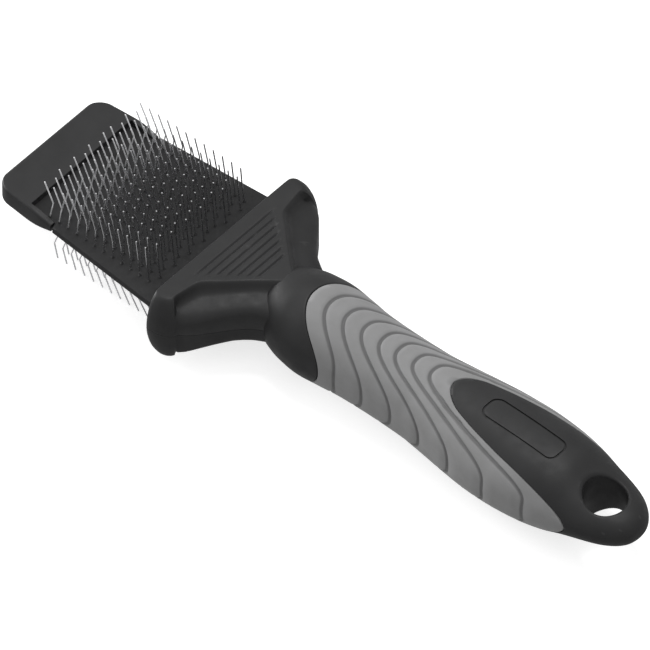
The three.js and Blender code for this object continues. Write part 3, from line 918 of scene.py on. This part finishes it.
def pins(name, side):
    """All the bent wires of one face."""
    tree = Tree(name + "_tree", face_inputs(side))
    points = pin_places(tree)
    # The blank: a wire of height 1, with its rings closer together toward a rounded tip.
    line = tree.node("GeometryNodeCurvePrimitiveLine", Start=(0, 0, 0), End=(0, 0, 1))
    rings = tree.node("GeometryNodeResampleCurve", Curve=line.outputs[0], Count=WIRE_RINGS)
    t = tree.node("GeometryNodeSplineParameter").outputs["Factor"]
    left = tree.math("POWER", tree.math("SUBTRACT", 1.0, t), RING_CROWDING)
    spaced = tree.node("GeometryNodeSetPosition", Geometry=rings.outputs[0],
                       Position=tree.vector(0.0, 0.0, tree.math("SUBTRACT", 1.0, left)))
    past = tree.math("MAXIMUM", tree.math("SUBTRACT", t, SWELL_START), 0.0)
    swell = tree.math("MULTIPLY_ADD", past, SWELL, 1.0)
    closing = tree.math("MULTIPLY_ADD", t, -TIP_TAPER, TIP_TAPER + TIP_RADIUS_SHARE)
    taper = tree.math("MINIMUM", closing, swell)
    thinned = tree.node("GeometryNodeSetCurveRadius", Curve=spaced.outputs[0], Radius=taper)
    circle = tree.node("GeometryNodeCurvePrimitiveCircle",
                       Resolution=WIRE_SIDES, Radius=tree.given("Wire radius"))
    blank = tree.node("GeometryNodeCurveToMesh",
                      Curve=thinned.outputs[0], Profile_Curve=circle.outputs[0])
    tree.link(True, blank.inputs["Fill Caps"])
    # The bend: up to the knee, then on to the tip.
    marked = tree.node("GeometryNodeInputNamedAttribute", {"data_type": "FLOAT"}, Name="along_row")
    along = marked.outputs["Attribute"]
    spot = tree.node("ShaderNodeSeparateXYZ", Vector=tree.node("GeometryNodeInputPosition").outputs[0])
    height = spot.outputs["Z"]
    lower = tree.math("MINIMUM", tree.math("DIVIDE", height, KNEE_SHARE), 1.0)
    above_knee = tree.math("DIVIDE", tree.math("SUBTRACT", height, KNEE_SHARE), 1 - KNEE_SHARE)
    upper = tree.math("MAXIMUM", above_knee, 0.0)
    knee = tree.between(tree.given("First knee lean"), tree.given("Last knee lean"), along)
    tip = tree.between(tree.given("First tip lean"), tree.given("Last tip lean"), along)
    x = tree.math("MULTIPLY_ADD", tip, upper, tree.math("MULTIPLY_ADD", knee, lower, spot.outputs["X"]))
    to_knee = tree.between(tree.given("Root height"), tree.given("Knee height"), lower)
    knee_to_tip = tree.math("SUBTRACT", tree.given("Tip height"), tree.given("Knee height"))
    rise = tree.math("MULTIPLY_ADD", knee_to_tip, upper, to_knee)
    z = tree.math("MULTIPLY_ADD", rise, tree.given("Side"), tree.given("Origin Z"))
    finish_tree(tree, points, blank.outputs[0], tree.vector(x, spot.outputs["Y"], z), STEEL)
    return tree.made_mesh(name, STEEL)


def pin_seats(name, side):
    """The small raised collars where the wires leave the sheet."""
    tree = Tree(name + "_tree", face_inputs(side))
    points = pin_places(tree)
    collar = tree.node("GeometryNodeMeshCone", Vertices=SEAT_SIDES, Depth=1.0,
                       Radius_Top=SEAT_TOP_RADIUS * MM, Radius_Bottom=SEAT_FOOT_RADIUS * MM)
    spot = tree.node("ShaderNodeSeparateXYZ", Vector=tree.node("GeometryNodeInputPosition").outputs[0])
    foot = tree.math("SUBTRACT", tree.given("Sheet top"), SEAT_SUNK * MM)
    rise = tree.math("MULTIPLY_ADD", spot.outputs["Z"], SEAT_HEIGHT * MM, foot)
    z = tree.math("MULTIPLY_ADD", rise, tree.given("Side"), tree.given("Origin Z"))
    reshaped = tree.vector(spot.outputs["X"], spot.outputs["Y"], z)
    finish_tree(tree, points, collar.outputs["Mesh"], reshaped, SHEET)
    return tree.made_mesh(name, SHEET)


# ---- The brush ----

def add(piece, body, slot, *nodes):
    """Sets a piece on its body and hides the CAD nodes that it stands for; slot, the material slot, is
    not used.
    """
    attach(piece, body)
    if nodes:
        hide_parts(*nodes)


add(handle_core(), "handle", "black_plastic", "handle_core")
add(grip_sleeve(), "handle", "grip_rubber", "grip_sleeve")
add(yoke_shell(1), "handle", "black_plastic", "yoke_upper_shell")
add(yoke_shell(-1), "handle", "black_plastic", "yoke_lower_shell")
add(end_cap(), "blade", "black_plastic", "end_cap")
for side, label in ((1, "upper"), (-1, "lower")):
    rows = [f"{label}_pin_row_{row:02d}" for row in range(1, PIN_ROWS + 1)]
    add(pins(f"{label}_pins", side), "blade", "pin_steel", *rows)
    add(pin_seats(f"{label}_pin_seats", side), "blade", "blade_plastic")

blade = flexible_blade()
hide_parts("upper_pin_sheet", "lower_pin_sheet", "blade_root")
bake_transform(blade)

# ---- Stage ----

bpy.context.scene.view_settings.view_transform = "Standard"
# The room's brightness from straight down, 0, past the horizon, 0.5, to straight up, 1.
ROOM_BRIGHTNESS = [
    (0.0, 0.45), (0.44, 0.5), (0.455, 1.25), (0.49, 1.25), (0.505, 0.52), (0.65, 0.62), (0.95, 0.9),
]
ROOM_STRENGTH = 0.9
FLOOR_HALF_SIZE = 3
FLOOR_GLOW = 0.72
LENS = 1500
VIEW_AZIMUTH = 41.3
VIEW_ELEVATION = 47.9
VIEW_TARGET = [101.9, 0.7, 0.0]
VIEW_WIDTH = 0.1786


def soft_room():
    """A pale ceiling over a dimmer room, with a bright band just below the horizon past the floor."""
    world = bpy.data.worlds.new("soft_room")
    world.use_nodes = True
    nodes, links = world.node_tree.nodes, world.node_tree.links
    background = nodes["Background"]
    place = nodes.new("ShaderNodeTexCoord")
    parts = nodes.new("ShaderNodeSeparateXYZ")
    links.new(place.outputs["Generated"], parts.inputs["Vector"])
    sky = [(at, (value, value, value)) for at, value in ROOM_BRIGHTNESS]
    height = nodes.new("ShaderNodeMapRange")
    height.inputs["From Min"].default_value = -1
    links.new(parts.outputs["Z"], height.inputs["Value"])
    links.new(ramp(nodes, links, height.outputs["Result"], sky), background.inputs["Color"])
    background.inputs["Strength"].default_value = ROOM_STRENGTH
    bpy.context.scene.world = world


def softbox(name, place, size, power):
    """A square lamp that faces the brush."""
    data = bpy.data.lights.new(name, "AREA")
    data.shape = "SQUARE"
    data.size = size
    data.energy = power
    lamp = bpy.data.objects.new(name, data)
    lamp.location = place
    lamp.visible_camera = False
    lamp.rotation_euler = Vector(place).to_track_quat("Z", "Y").to_euler()
    bpy.context.scene.collection.objects.link(lamp)


def pale_floor():
    """A white sheet that glows a little, as a light table does, so that the shadow stays faint."""
    mesh = bpy.data.meshes.new("floor")
    reach = FLOOR_HALF_SIZE
    corners = [(-reach, -reach, 0), (reach, -reach, 0), (reach, reach, 0), (-reach, reach, 0)]
    mesh.from_pydata(corners, [], [(0, 1, 2, 3)])
    floor = bpy_object("floor", mesh)
    material, _, _, main = shader("light_table", (0.6, 0.6, 0.6), 0.9)
    main.inputs["Emission Color"].default_value = (1, 1, 1, 1)
    main.inputs["Emission Strength"].default_value = FLOOR_GLOW
    mesh.materials.append(material)
    floor.visible_diffuse = False
    floor.visible_glossy = False


soft_room()
softbox("top_light", (-0.15, 0.25, 1.1), 0.3, 4)
softbox("front_light", (-1.3, -0.1, 0.25), 0.6, 16)
pale_floor()
camera(VIEW_AZIMUTH, VIEW_ELEVATION, placed(VIEW_TARGET), VIEW_WIDTH)
